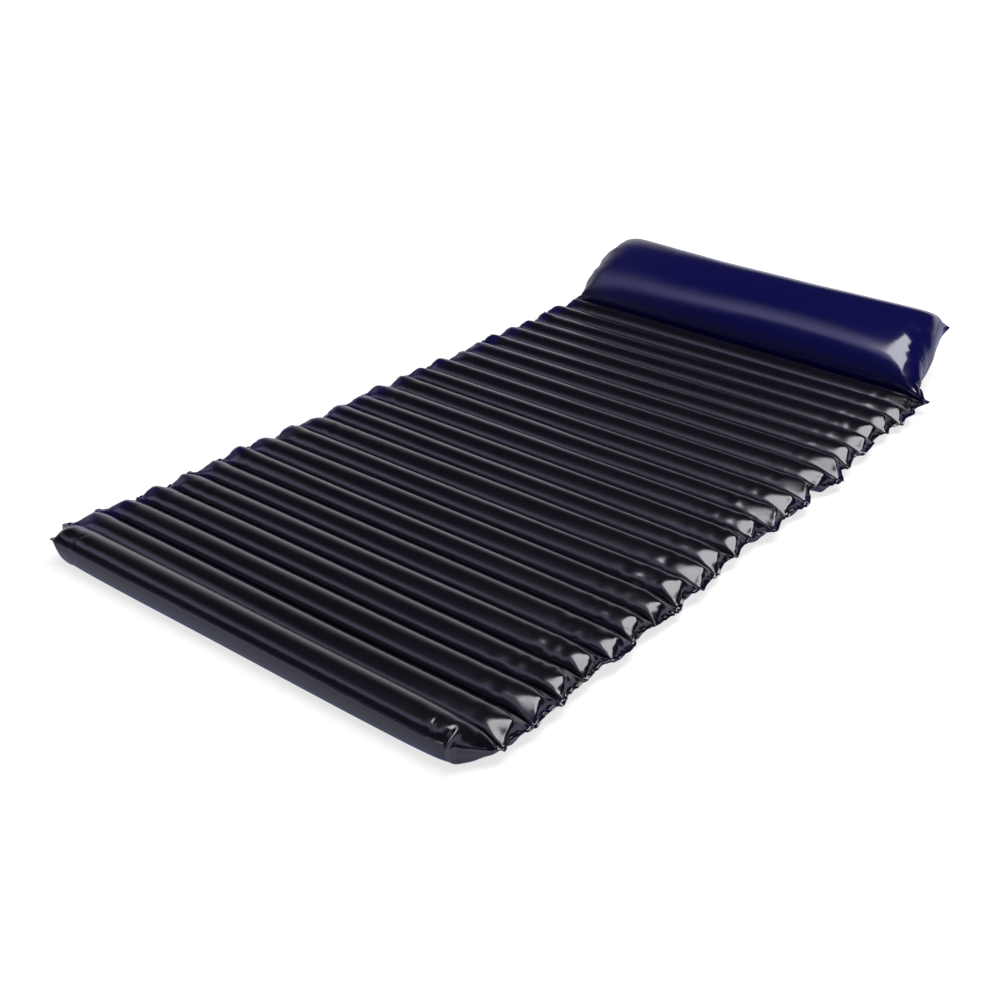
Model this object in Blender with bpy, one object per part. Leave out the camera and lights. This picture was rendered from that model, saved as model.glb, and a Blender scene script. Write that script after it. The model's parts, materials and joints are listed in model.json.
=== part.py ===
"""Ribbed inflatable pool lounger, laid out flat and blown up, in metres with +Z up.

Two equal sheets of film are welded together in lines across the mat. Each pair of lines closes a
cross tube, and the mat bends along every line. A fatter tube ends the foot, a deep pillow pocket
ends the head, and each of the two air spaces has its own push-in valve.
X runs across the mat, +Y towards the pillow, and the mat lies on z = 0.
"""

import math
from dataclasses import dataclass
from functools import cache

import bmesh
import bpy
from mathutils import Matrix, Vector

# Cross tubes
TUBE_COUNT = 24
TUBE_PITCH = 0.0501
TUBE_THICKNESS = 0.0356
WELD_LAND = 0.0030
TUBE_SEAM_BOW = 0.0050
TUBE_TAPER = 0.0070

# Foot tube, which closes on the rim seam and curls up along it
FOOT_DEPTH = 0.0550
FOOT_THICKNESS = 0.0480
FOOT_SEAM = 0.0020
FOOT_SEAM_LIFT = 0.0120
FOOT_SEAM_BOW = 0.0030
FOOT_FRONT_DRAW = 0.0290
FOOT_TAPER = 0.0060

# Pillow
PILLOW_DEPTH = 0.1980
PILLOW_THICKNESS = 0.1080
PILLOW_LAND = 0.0060
PILLOW_SEAM_BOW = 0.0170
PILLOW_TAPER = 0.0010
PILLOW_REAR_DRAW = 0.0220
PILLOW_CORNER_DROP = 0.0160
PILLOW_SEAM = 0.0040

# Film, rim and floor
HALF_SPAN = 0.3320
END_FLANGE = 0.0045
SEAM_THICKNESS = 0.0006
CLEARANCE = 0.0003
FLOOR_CUT = 0.0005

# Valves
BASE_DIAMETER = 0.0170
BASE_THICKNESS = 0.0012
STEM_DIAMETER = 0.0085
STEM_BORE = 0.0055
STEM_LENGTH = 0.0140
STEM_RIM = 0.0010
STEM_BEAD = 0.0007
PLUG_HEAD = 0.0020
PLUG_SHANK = 0.0070
PLUG_EDGE = 0.0005
PULL_TAB = 0.0050
FLAP_THICKNESS = 0.0005
PILLOW_VALVE_X = -0.2000
PILLOW_VALVE_SHARE = 0.74
FOOT_VALVE_ANGLE = 48.0
FOOT_VALVE_SHARE = 0.50

# Facets
TUBE_ARC_STEPS = 6
TUBE_END_ANGLES = (35.0, 90.0)
PILLOW_ARC_STEPS = 12
PILLOW_END_ANGLES = (14.0, 30.0, 48.0, 68.0, 90.0)
ROUND_STEPS = 20
SMOOTH_BELOW = 40.0

# Searches and tolerances
ROOT_TUBE = 12
TILT_SEARCH = (-0.5, 1.0)
SEARCH_ROUNDS = 40
PATH_STEPS = 30
SLOPE_STEP = 0.02
UPRIGHT_NORMAL = 0.1
SAME_POINT = 1e-6

WELD_HEIGHT = TUBE_THICKNESS / 2 - FLOOR_CUT


def steps_to_one(count):
    return [step / count for step in range(count + 1)]


@dataclass(frozen=True)
class Pocket:
    """One welded air pocket, seen along X: a chord between two welds, with a film bulging each side."""

    near: float
    chord: float
    thickness: float
    far_edge: float
    seam_bow: float
    taper: float
    far_draw: float
    seam_lift: float
    corner_drop: float
    arc_steps: int
    end_angles: tuple

    @property
    def rise(self):
        return (self.thickness - SEAM_THICKNESS) / 2

    @property
    def radius(self):
        return (self.chord**2 / 4 + self.rise**2) / (2 * self.rise)

    @property
    def half_angle(self):
        return 2 * math.atan2(2 * self.rise, self.chord)

    @property
    def film_width(self):
        """The width of flat film that makes this bulge."""
        return 2 * self.radius * self.half_angle

    def bulge(self, share):
        """Distance along the chord and film height at a share of the arc, from 0 to 1."""
        angle = (2 * share - 1) * self.half_angle
        y = self.near + self.chord / 2 + self.radius * math.sin(angle)
        return y, self.radius * math.cos(angle) - self.radius + self.rise

    def across(self, y):
        """Share of the chord at a distance from the near weld."""
        return min(max((y - self.near) / self.chord, 0.0), 1.0)

    def seam_x(self, y):
        """Half width of the end seam, which the bulge draws in between the welds."""
        across = self.across(y)
        drawn = self.seam_bow * (1 - (2 * across - 1) ** 2)
        return HALF_SPAN - drawn - self.far_draw * across

    def full_x(self):
        """Half width of the stretch that keeps its full section."""
        return HALF_SPAN - self.seam_bow - self.far_draw - self.taper

    def middle(self, x, y):
        """Height midway between the films: the far seam is raised, and its corners hang."""
        past_full = max(abs(x) - self.full_x(), 0.0)
        towards_end = past_full / (self.seam_x(y) - self.full_x())
        return self.across(y) ** 2 * (self.seam_lift - self.corner_drop * towards_end)

    def film(self, angle, share):
        """Place and half thickness at one end, angle 0 at the seam and 90 at the full section."""
        turn = math.radians(angle)
        y, height = self.bulge(share)
        seam = self.seam_x(y)
        x = seam + (self.full_x() - seam) * (1 - math.cos(turn))
        return Vector((x, y, SEAM_THICKNESS / 2 + height * math.sin(turn)))

    def skin(self, angle, share, side):
        """A point on the upper film, side 1, or on the lower film, side -1."""
        point = self.film(angle, share)
        point.z = self.middle(point.x, point.y) + side * point.z
        return point

    def outward(self, angle, share, side):
        """Direction out of the film at a point of its swelling end."""
        step = 1.0 + SLOPE_STEP
        along = self.skin(angle * step, share, side) - self.skin(angle / step, share, side)
        across = self.skin(angle, share * step, side) - self.skin(angle, share / step, side)
        return (along.cross(across) * -side).normalized()

    def end_path(self):
        """Length of film from the end seam to the full section, over the crest."""
        stops = [self.film(90.0 * share, 0.5) for share in steps_to_one(PATH_STEPS)]
        return sum((b - a).length for a, b in zip(stops, stops[1:]))


TUBE = Pocket(
    near=WELD_LAND / 2,
    chord=TUBE_PITCH - WELD_LAND,
    thickness=TUBE_THICKNESS,
    far_edge=TUBE_PITCH - CLEARANCE,
    seam_bow=TUBE_SEAM_BOW,
    taper=TUBE_TAPER,
    far_draw=0.0,
    seam_lift=0.0,
    corner_drop=0.0,
    arc_steps=TUBE_ARC_STEPS,
    end_angles=TUBE_END_ANGLES,
)
FOOT = Pocket(
    near=WELD_LAND / 2,
    chord=FOOT_DEPTH - WELD_LAND / 2,
    thickness=FOOT_THICKNESS,
    far_edge=FOOT_DEPTH + FOOT_SEAM,
    seam_bow=FOOT_SEAM_BOW,
    taper=FOOT_TAPER,
    far_draw=FOOT_FRONT_DRAW,
    seam_lift=FOOT_SEAM_LIFT,
    corner_drop=0.0,
    arc_steps=TUBE_ARC_STEPS,
    end_angles=TUBE_END_ANGLES,
)
PILLOW = Pocket(
    near=PILLOW_LAND / 2,
    chord=PILLOW_DEPTH - PILLOW_LAND / 2,
    thickness=PILLOW_THICKNESS,
    far_edge=PILLOW_DEPTH + PILLOW_SEAM,
    seam_bow=PILLOW_SEAM_BOW,
    taper=PILLOW_TAPER,
    far_draw=PILLOW_REAR_DRAW,
    seam_lift=0.0,
    corner_drop=PILLOW_CORNER_DROP,
    arc_steps=PILLOW_ARC_STEPS,
    end_angles=PILLOW_END_ANGLES,
)


def clear_scene():
    for obj in list(bpy.data.objects):
        bpy.data.objects.remove(obj, do_unlink=True)


def plastic(name, color, roughness):
    material = bpy.data.materials.new(name)
    material.use_nodes = True
    shader = material.node_tree.nodes["Principled BSDF"]
    shader.inputs["Base Color"].default_value = (*color, 1.0)
    shader.inputs["Roughness"].default_value = roughness
    shader.inputs["Metallic"].default_value = 0.0
    return material


def add_object(name, mesh, matrix, parent=None):
    """Places a mesh by a world matrix, and keeps it there when it hangs on a parent."""
    obj = bpy.data.objects.new(name, mesh)
    bpy.context.scene.collection.objects.link(obj)
    obj.matrix_basis = matrix
    if parent:
        obj.parent = parent
        obj.matrix_parent_inverse = parent.matrix_basis.inverted()
    return obj


def finish_mesh(bm, name, material):
    bmesh.ops.recalc_face_normals(bm, faces=bm.faces)
    mesh = bpy.data.meshes.new(name)
    bm.to_mesh(mesh)
    bm.free()
    mesh.materials.append(material)
    mesh.shade_smooth()
    mesh.set_sharp_from_angle(angle=math.radians(SMOOTH_BELOW))
    return mesh


def film_rows(pocket):
    """The places along X of the grid's rows: flange edge, seam, swelling end and the same back."""
    end = ["flange", 0.0, *pocket.end_angles]
    rows = [(-1, row) for row in end]
    rows += [(1, row) for row in reversed(end)]
    return rows


def film_point(pocket, row, column):
    """Place and half thickness of a grid point. The outer columns are the flat welded strips."""
    end, angle = row
    last = pocket.arc_steps + 2
    share = (min(max(column, 1), last - 1) - 1) / pocket.arc_steps
    point = pocket.film(0.0 if angle == "flange" else angle, share)
    if angle == "flange":
        point.x += END_FLANGE
    if column == 0:
        point.y = CLEARANCE
    if column == last:
        point.y = pocket.far_edge
    point.x *= end
    return point


@cache
def skin_points(pocket):
    """Every grid point of both films, in the frame of the pocket's weld."""
    points = []
    for row in film_rows(pocket):
        for column in range(pocket.arc_steps + 3):
            point = film_point(pocket, row, column)
            middle = pocket.middle(point.x, point.y)
            points.append(Vector((point.x, point.y, middle + point.z)))
            points.append(Vector((point.x, point.y, middle - point.z)))
    return points


def lowest(pocket, tilt):
    """Height of the lowest point over the weld, with the chord turned up by the tilt."""
    return min(p.y * math.sin(tilt) + p.z * math.cos(tilt) for p in skin_points(pocket))


@cache
def resting_tilt(pocket):
    """How far the chord turns up about its near weld for the belly to reach the floor."""
    low, high = TILT_SEARCH
    for _ in range(SEARCH_ROUNDS):
        middle = (low + high) / 2
        if lowest(pocket, middle) < -FLOOR_CUT - WELD_HEIGHT:
            low = middle
        else:
            high = middle
    return high


@cache
def reach(pocket):
    """How far the resting pocket reaches out along the floor from its weld."""
    tilt = resting_tilt(pocket)
    return max(p.y * math.cos(tilt) - p.z * math.sin(tilt) for p in skin_points(pocket))


def pocket_mesh(name, pocket, material, floor):
    """Two films over one grid, joined round the rim, and cut flat by the floor."""
    rows = film_rows(pocket)
    columns = pocket.arc_steps + 2
    bm = bmesh.new()
    bmesh.ops.create_grid(bm, x_segments=len(rows) - 1, y_segments=columns, size=1.0)
    for vert in bm.verts:
        row = round((vert.co.x + 1) / 2 * (len(rows) - 1))
        column = round((vert.co.y + 1) / 2 * columns)
        vert.co = film_point(pocket, rows[row], column)
    rim = [edge for edge in bm.edges if edge.is_boundary]
    lower = bmesh.ops.duplicate(bm, geom=bm.verts[:] + bm.edges[:] + bm.faces[:])
    for item in lower["geom"]:
        if isinstance(item, bmesh.types.BMVert):
            item.co.z = -item.co.z
    for vert in bm.verts:
        vert.co.z += pocket.middle(vert.co.x, vert.co.y)
    copied = lower["edge_map"]
    bmesh.ops.bridge_loops(bm, edges=rim + [copied[edge] for edge in rim])
    cut_at_floor(bm, floor)
    return finish_mesh(bm, name, material)


def cut_at_floor(bm, floor):
    """Removes what is under the floor, given as a point and an upward direction, and closes it."""
    point, up = floor
    geometry = bm.verts[:] + bm.edges[:] + bm.faces[:]
    bmesh.ops.bisect_plane(bm, geom=geometry, plane_co=point, plane_no=up, clear_inner=True)
    open_edges = [edge for edge in bm.edges if edge.is_boundary]
    bmesh.ops.holes_fill(bm, edges=open_edges, sides=0)


def floor_seen_from(matrix):
    """The floor plane in the frame of a piece that stands at this matrix."""
    back = matrix.inverted()
    return back @ Vector((0.0, 0.0, 0.0)), back.to_3x3() @ Vector((0.0, 0.0, 1.0))


def weld_y(index):
    """World Y of the weld on the head side of a tube, counted from 1 at the foot."""
    length = reach(FOOT) + (TUBE_COUNT - 1) * TUBE_PITCH + reach(PILLOW)
    return reach(FOOT) - length / 2 + (index - 1) * TUBE_PITCH


def towards_head(y, tilt=0.0):
    """A frame on a weld, with its own +Y to the pillow and turned up by the tilt."""
    return Matrix.Translation((0.0, y, WELD_HEIGHT)) @ Matrix.Rotation(tilt, 4, "X")


def towards_foot(y, tilt=0.0):
    """A frame on a weld, with its own +Y to the foot and turned up by the tilt."""
    half_turn = Matrix.Rotation(math.pi, 4, "Z")
    return Matrix.Translation((0.0, y, WELD_HEIGHT)) @ half_turn @ Matrix.Rotation(tilt, 4, "X")


def make_tubes(material):
    """The cross tubes, hung on each other outwards from the middle one, each on its weld."""
    mesh = pocket_mesh("air_tube", TUBE, material, floor_seen_from(towards_head(0.0)))
    tubes = {ROOT_TUBE: add_object(tube_name(ROOT_TUBE), mesh, towards_head(weld_y(ROOT_TUBE - 1)))}
    for index in range(ROOT_TUBE + 1, TUBE_COUNT + 1):
        place = towards_head(weld_y(index - 1))
        tubes[index] = add_object(tube_name(index), mesh, place, tubes[index - 1])
    for index in range(ROOT_TUBE - 1, 1, -1):
        place = towards_foot(weld_y(index))
        tubes[index] = add_object(tube_name(index), mesh, place, tubes[index + 1])
    place = towards_foot(weld_y(1), resting_tilt(FOOT))
    foot_mesh = pocket_mesh("foot_tube", FOOT, material, floor_seen_from(place))
    tubes[1] = add_object(tube_name(1), foot_mesh, place, tubes[2])
    return tubes


def tube_name(index):
    return f"air_tube_{index:02d}"


def make_pillow(material, last_tube):
    place = towards_head(weld_y(TUBE_COUNT), resting_tilt(PILLOW))
    mesh = pocket_mesh("pillow", PILLOW, material, floor_seen_from(place))
    return add_object("pillow", mesh, place, last_tube)


def turned_mesh(name, profile, material, closed):
    """Turns a profile of radius and height pairs round Z. An open profile ends on the axis."""
    bm = bmesh.new()
    verts = [bm.verts.new((radius, 0.0, height)) for radius, height in profile]
    pairs = list(zip(verts, verts[1:]))
    if closed:
        pairs.append((verts[-1], verts[0]))
    edges = [bm.edges.new(pair) for pair in pairs]
    bmesh.ops.spin(
        bm,
        geom=verts + edges,
        axis=(0.0, 0.0, 1.0),
        cent=(0.0, 0.0, 0.0),
        angle=2 * math.pi,
        steps=ROUND_STEPS,
        use_merge=True,
    )
    bmesh.ops.remove_doubles(bm, verts=bm.verts, dist=SAME_POINT)
    return finish_mesh(bm, name, material)


def outward_frame(point, outward, up_hint):
    """A frame with Z out of the film and X towards the hint."""
    y = outward.cross(up_hint).normalized()
    x = y.cross(outward)
    turn = Matrix((x, y, outward)).transposed().to_4x4()
    return Matrix.Translation(point) @ turn


def foot_valve_frame(foot):
    """Seat of the mat's valve, under one drawn-in end of the foot tube."""
    point = FOOT.skin(FOOT_VALVE_ANGLE, FOOT_VALVE_SHARE, -1)
    outward = FOOT.outward(FOOT_VALVE_ANGLE, FOOT_VALVE_SHARE, -1)
    tightest = min(FOOT.radius, FOOT.seam_x(point.y) - FOOT.full_x())
    seat = point - outward * dish_depth(tightest)
    frame = outward_frame(seat, outward, Vector((0.0, 1.0, 0.0)))
    return foot.matrix_basis @ frame


def pillow_valve_frame(pillow):
    """Seat of the pillow's valve, low on its back."""
    y, height = PILLOW.bulge(PILLOW_VALVE_SHARE)
    angle = (2 * PILLOW_VALVE_SHARE - 1) * PILLOW.half_angle
    outward = Vector((0.0, math.sin(angle), -math.cos(angle)))
    point = Vector((PILLOW_VALVE_X, y, -height - SEAM_THICKNESS / 2))
    seat = point - outward * dish_depth(PILLOW.radius)
    frame = outward_frame(seat, outward, Vector((1.0, 0.0, 0.0)))
    return pillow.matrix_basis @ frame


def dish_depth(radius):
    """How deep a round flat seat lies under the top of a bulge of this radius."""
    return (BASE_DIAMETER / 2) ** 2 / (2 * radius) + CLEARANCE


def bead_radius():
    return STEM_DIAMETER / 2 + STEM_BEAD


def flap_radius():
    return (STEM_BORE + STEM_DIAMETER) / 4


def cut_valve_seat(carrier, frame, name):
    """Opens the film under a valve: a flat seat, and the hollow that the stem is pushed into."""
    seat = BASE_DIAMETER / 2 + CLEARANCE
    hollow = bead_radius() + CLEARANCE
    depth = STEM_LENGTH + 2 * flap_radius() + FLAP_THICKNESS + 2 * CLEARANCE
    top = BASE_DIAMETER / 2
    profile = [(0.0, top), (seat, top), (seat, 0.0), (hollow, 0.0), (hollow, -depth), (0.0, -depth)]
    cutter = turned_mesh(name, profile, carrier.data.materials[0], closed=False)
    tool = add_object(name, cutter, frame, carrier)
    tool.hide_render = True
    tool.display_type = "WIRE"
    cut = carrier.modifiers.new("valve_seat", "BOOLEAN")
    cut.object = tool
    cut.operation = "DIFFERENCE"
    cut.solver = "EXACT"


def make_valve_base(prefix, frame, material, carrier):
    """A flat ring welded to the film, with a raised lip round the stem."""
    outer = BASE_DIAMETER / 2
    inner = STEM_DIAMETER / 2 + CLEARANCE
    lip = inner + BASE_THICKNESS
    low = CLEARANCE
    step = low + BASE_THICKNESS / 2
    profile = [(inner, low), (outer, low), (outer, step), (lip, step), (inner, low + BASE_THICKNESS)]
    mesh = turned_mesh(prefix + "_valve_base", profile, material, closed=True)
    return add_object(prefix + "_valve_base", mesh, frame, carrier)


def make_valve_stem(prefix, frame, material, base):
    """The tube that slides through the ring, with a rim outside and a bead that stops it inside."""
    bore = STEM_BORE / 2
    wall = STEM_DIAMETER / 2
    top = 2 * CLEARANCE + BASE_THICKNESS
    bottom = CLEARANCE - STEM_LENGTH
    rim = wall + STEM_RIM
    bead = bead_radius()
    profile = [
        (bore, bottom),
        (wall, bottom),
        (bead, bottom + STEM_BEAD),
        (wall, bottom + 2 * STEM_BEAD),
        (wall, top),
        (rim, top),
        (rim, top + STEM_RIM),
        (bore, top + STEM_RIM),
    ]
    mesh = turned_mesh(prefix + "_valve_stem", profile, material, closed=True)
    return add_object(prefix + "_valve_stem", mesh, frame, base)


def make_valve_plug(prefix, frame, material, stem):
    """The stopper: a shank that fills the bore, a flat head and a tab to pull it by."""
    head = STEM_DIAMETER / 2 + STEM_RIM
    low = 3 * CLEARANCE + BASE_THICKNESS + STEM_RIM
    tip = low - PLUG_SHANK
    shank = STEM_BORE / 2 - CLEARANCE
    profile = [
        (0.0, tip),
        (shank - PLUG_EDGE, tip),
        (shank, tip + 2 * PLUG_EDGE),
        (shank, low),
        (head, low),
        (head, low + PLUG_HEAD - PLUG_EDGE),
        (head - PLUG_EDGE, low + PLUG_HEAD),
        (0.0, low + PLUG_HEAD),
    ]
    mesh = turned_mesh(prefix + "_valve_plug", profile, material, closed=False)
    pull_out_tab(mesh, low)
    return add_object(prefix + "_valve_plug", mesh, frame, stem)


def pull_out_tab(mesh, low):
    """Draws two side faces of the plug's head out into its tab."""
    bm = bmesh.new()
    bm.from_mesh(mesh)
    band = [face for face in bm.faces if is_head_side(face, low)]
    band.sort(key=lambda face: -face.calc_center_median().x)
    pulled = bmesh.ops.extrude_face_region(bm, geom=band[:2])["geom"]
    for vert in pulled:
        if isinstance(vert, bmesh.types.BMVert):
            vert.co.x += PULL_TAB
    bmesh.ops.delete(bm, geom=band[:2], context="FACES")
    bm.to_mesh(mesh)
    bm.free()


def is_head_side(face, low):
    middle = face.calc_center_median()
    top = low + PLUG_HEAD - PLUG_EDGE
    return abs(face.normal.z) < UPRIGHT_NORMAL and low < middle.z < top


def make_valve_flap(prefix, frame, material, stem):
    """The disc under the bore that the air inside presses shut, hinged at one side of its rim."""
    radius = flap_radius()
    top = -CLEARANCE
    low = top - FLAP_THICKNESS
    profile = [(0.0, low), (radius, low), (radius, top), (0.0, top)]
    mesh = turned_mesh(prefix + "_valve_flap", profile, material, closed=False)
    mesh.transform(Matrix.Translation((radius, 0.0, 0.0)))
    hinge = frame @ Matrix.Translation((-radius, 0.0, CLEARANCE - STEM_LENGTH))
    return add_object(prefix + "_valve_flap", mesh, hinge, stem)


def make_valve(prefix, carrier, frame, soft, clear):
    cut_valve_seat(carrier, frame, prefix + "_valve_cutter")
    base = make_valve_base(prefix, frame, soft, carrier)
    stem = make_valve_stem(prefix, frame, soft, base)
    make_valve_plug(prefix, frame, soft, stem)
    make_valve_flap(prefix, frame, clear, stem)


def print_sizes():
    flat_tubes = (TUBE_COUNT - 1) * (TUBE.film_width + WELD_LAND)
    flat_foot = FOOT.film_width + WELD_LAND / 2 + FOOT_SEAM
    flat_pillow = PILLOW.film_width + PILLOW_LAND / 2 + PILLOW_SEAM
    flat_length = flat_tubes + flat_foot + flat_pillow
    flat_width = 2 * (TUBE.full_x() + TUBE.end_path() + END_FLANGE)
    print(f"flat film {flat_length:.3f} x {flat_width:.3f} m")
    print(f"pillow rests at {math.degrees(resting_tilt(PILLOW)):.1f} degrees")
    print(f"foot tube rests at {math.degrees(resting_tilt(FOOT)):.1f} degrees")


def main():
    clear_scene()
    tube_film = plastic("navy_tube_film", (0.012, 0.010, 0.022), 0.18)
    pillow_film = plastic("navy_pillow_film", (0.008, 0.008, 0.075), 0.15)
    soft_vinyl = plastic("valve_vinyl", (0.020, 0.020, 0.060), 0.35)
    clear_vinyl = plastic("flap_vinyl", (0.550, 0.560, 0.600), 0.25)
    tubes = make_tubes(tube_film)
    pillow = make_pillow(pillow_film, tubes[TUBE_COUNT])
    make_valve("mat", tubes[1], foot_valve_frame(tubes[1]), soft_vinyl, clear_vinyl)
    make_valve("pillow", pillow, pillow_valve_frame(pillow), soft_vinyl, clear_vinyl)
    print_sizes()


main()
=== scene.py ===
# %% [markdown]
# # A ribbed pool lounger, blown up and laid out
#
# The real thing is two equal sheets of glossy dark blue film, welded together in lines. Air goes in and
# the sheets part between the lines: 23 slim tubes, a fatter one at the foot and a deep pillow at the head.
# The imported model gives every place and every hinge, so nothing here has to be fitted to it.

# %% Load the frame
import json
import math

import bmesh
import bpy
import numpy as np
from mathutils import Matrix, Vector, noise


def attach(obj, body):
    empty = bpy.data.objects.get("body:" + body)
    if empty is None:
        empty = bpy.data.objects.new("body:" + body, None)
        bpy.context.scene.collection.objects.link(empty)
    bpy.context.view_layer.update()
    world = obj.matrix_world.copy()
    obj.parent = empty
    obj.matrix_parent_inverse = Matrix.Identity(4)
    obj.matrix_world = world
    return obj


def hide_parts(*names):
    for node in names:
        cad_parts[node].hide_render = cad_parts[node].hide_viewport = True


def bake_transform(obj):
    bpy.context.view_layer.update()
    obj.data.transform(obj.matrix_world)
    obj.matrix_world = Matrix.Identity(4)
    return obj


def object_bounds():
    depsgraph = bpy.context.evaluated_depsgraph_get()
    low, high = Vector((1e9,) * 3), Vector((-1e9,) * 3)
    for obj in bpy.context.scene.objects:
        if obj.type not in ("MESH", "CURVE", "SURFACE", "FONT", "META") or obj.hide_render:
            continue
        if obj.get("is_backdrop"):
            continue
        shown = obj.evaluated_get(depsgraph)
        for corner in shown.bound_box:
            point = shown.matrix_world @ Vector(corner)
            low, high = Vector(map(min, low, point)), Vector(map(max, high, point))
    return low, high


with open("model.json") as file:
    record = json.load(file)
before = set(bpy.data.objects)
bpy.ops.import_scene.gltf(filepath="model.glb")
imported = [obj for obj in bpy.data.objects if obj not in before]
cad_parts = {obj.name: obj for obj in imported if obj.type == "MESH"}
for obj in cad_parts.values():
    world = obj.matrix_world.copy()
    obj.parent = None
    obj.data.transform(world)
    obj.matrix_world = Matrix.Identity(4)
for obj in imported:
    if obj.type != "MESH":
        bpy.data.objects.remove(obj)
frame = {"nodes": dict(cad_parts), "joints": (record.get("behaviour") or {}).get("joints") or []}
noise.seed_set(11)
CAD_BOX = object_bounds()
JOINTS = {joint["name"]: joint for joint in frame["joints"]}
print("box of the solids", [[round(value, 4) for value in corner] for corner in CAD_BOX])

# %% [markdown]
# ## The camera
#
# The camera stands to the right of the foot and looks down along the mat at about 28 degrees. A look-at
# constraint would also aim it, but a matrix from one direction and one target shows what an aim is: the
# camera's own Z points back at the viewer, and a few degrees of roll turn the other two axes round it.

# %% Set up the camera
CAMERA_TARGET = Vector((0.03896, -0.24851, 0.0351))
CAMERA_BACK = Vector((0.499243, -0.725859, 0.473166)).normalized()
CAMERA_DISTANCE = 1.75520
CAMERA_ROLL = math.radians(3.51)
CAMERA_LENS = 47.772

camera = bpy.data.objects.new("camera", bpy.data.cameras.new("camera"))
bpy.context.scene.collection.objects.link(camera)
bpy.context.scene.camera = camera
right = Vector((0.0, 0.0, 1.0)).cross(CAMERA_BACK).normalized()
up = CAMERA_BACK.cross(right)
aim = Matrix((right, up, CAMERA_BACK)).transposed().to_4x4()
stand = Matrix.Translation(CAMERA_TARGET + CAMERA_BACK * CAMERA_DISTANCE)
camera.matrix_world = stand @ aim @ Matrix.Rotation(CAMERA_ROLL, 4, "Z")
camera.data.sensor_width = 36.0
camera.data.lens = CAMERA_LENS
camera.data.clip_start = 0.01
print("camera at", [round(value, 3) for value in camera.matrix_world.translation])

# %% [markdown]
# ## One way to write a material
#
# A node tree is a sum of small steps, and linking them one by one hides the sum. Here a wire stands for a
# node's output and knows how to add and multiply, so that a mask reads as it would on paper. Every other
# node is made by one method, which takes its settings first and its sockets after that.


# %% Make the shader helpers
class Wire:
    """An output in a material, which sums and products can be written with."""

    def __init__(self, recipe, socket):
        self.recipe = recipe
        self.socket = socket

    def __add__(self, other):
        return self.recipe.math("ADD", self, other)

    def __sub__(self, other):
        return self.recipe.math("SUBTRACT", self, other)

    def __mul__(self, other):
        return self.recipe.math("MULTIPLY", self, other)

    def __radd__(self, other):
        return self.recipe.math("ADD", other, self)

    def __rsub__(self, other):
        return self.recipe.math("SUBTRACT", other, self)

    def __rmul__(self, other):
        return self.recipe.math("MULTIPLY", other, self)


class Recipe:
    """A material, or the world, being put together from nodes."""

    def __init__(self, owner):
        owner.use_nodes = True
        self.tree = owner.node_tree
        self.tree.nodes.clear()

    def connect(self, socket, value):
        if isinstance(value, Wire):
            self.tree.links.new(value.socket, socket)
        else:
            socket.default_value = value

    def node(self, kind, settings=None, sockets=None, output=0):
        """Makes a node and gives the wire of one of its outputs."""
        made = self.tree.nodes.new("ShaderNode" + kind)
        for name, value in (settings or {}).items():
            setattr(made, name, value)
        for name, value in (sockets or {}).items():
            self.connect(made.inputs[name], value)
        return Wire(self, made.outputs[output])

    def math(self, operation, first, second):
        return self.node("Math", {"operation": operation}, {0: first, 1: second})

    def step(self, value, low, high):
        """0 below low, 1 above high, and a soft step between them."""
        return self.node(
            "MapRange",
            {"interpolation_type": "SMOOTHSTEP"},
            {"Value": value, "From Min": low, "From Max": high},
        )

    def colours(self, share, first, second):
        """The first colour at share 0 and the second at 1."""
        return self.node("Mix", {"data_type": "RGBA"}, {"Factor": share, 6: first, 7: second}, output=2)

    def noise(self, place, scale, detail=2.0, stretch=(1.0, 1.0, 1.0)):
        """Cloudy noise from 0 to 1, drawn out along an axis where the stretch is small."""
        moved = self.node("Mapping", {}, {"Vector": place, "Scale": stretch})
        return self.node("TexNoise", {}, {"Vector": moved, "Scale": scale, "Detail": detail})


print("shader helpers ready")

# %% [markdown]
# ## Light and backdrop
#
# Dark film shows its shape by what it reflects, so the light is placed for the reflections. A bright box
# almost overhead lands only where a tube's end turns towards the right. The rest is drawn into the world:
# a dim panel at the front left greys the faces that look to the foot, and a white backdrop low behind
# draws the thin line on each crest. Both stand lower or higher towards the left, as the bands in the
# photograph do. The ceiling between them stays dim, which keeps the tops of the tubes nearly black.

# %% Set up the world, the floor and the lamps
BACKDROP_LOW = 0.12
BACKDROP_TOP, BACKDROP_RISE = 0.38, 0.34
BACKDROP_SIDE = (-0.50, 0.86, 0.0)
SIDE_LOW, SIDE_HIGH = 0.1, 0.8
SIDE_WALL = 0.02
LEFT_TURN = (0.38, 0.50)
CEILING = 0.030
AMBIENT = 0.24
FLOOR_SIZE = 14.0
FLOOR_DROP = 0.0006
FLOOR_COLOUR = (0.36, 0.36, 0.36, 1.0)
FLOOR_GLOW = 0.74
# Painted shade: the dim blue that the floor shows in reflections, for the floor lying in the mat's shadow.
FLOOR_SHADE_IN_GLOSS = (0.20, 0.22, 0.40, 1.0)
WHITE_FROM, WHITE_AT = 0.70, 1.20
PANEL_FOOT = (0.66, 0.73)
PANEL_HEAD = (0.74, 0.95)
PANEL_DROP = 0.176
PANEL_FRONT = (0.05, 0.25)
PANEL_LEFT = (0.05, 0.25)
PANEL_STRENGTH = 1.35
PANEL_TINT = (0.60, 0.60, 1.0, 1.0)
BACKDROP_TINT = (0.95, 0.90, 1.0, 1.0)
LAMPS = {
    "overhead_box": {
        "towards": (0.21, -0.08, 0.97),
        "distance": 2.4,
        "size": (2.7, 1.2),
        "watts": 70.0,
        "colour": (0.97, 0.96, 1.0),
    },
}
WHITE = (1.0, 1.0, 1.0, 1.0)
LAMPS_AIM_AT = Vector((0.0, -0.05, 0.03))

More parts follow.
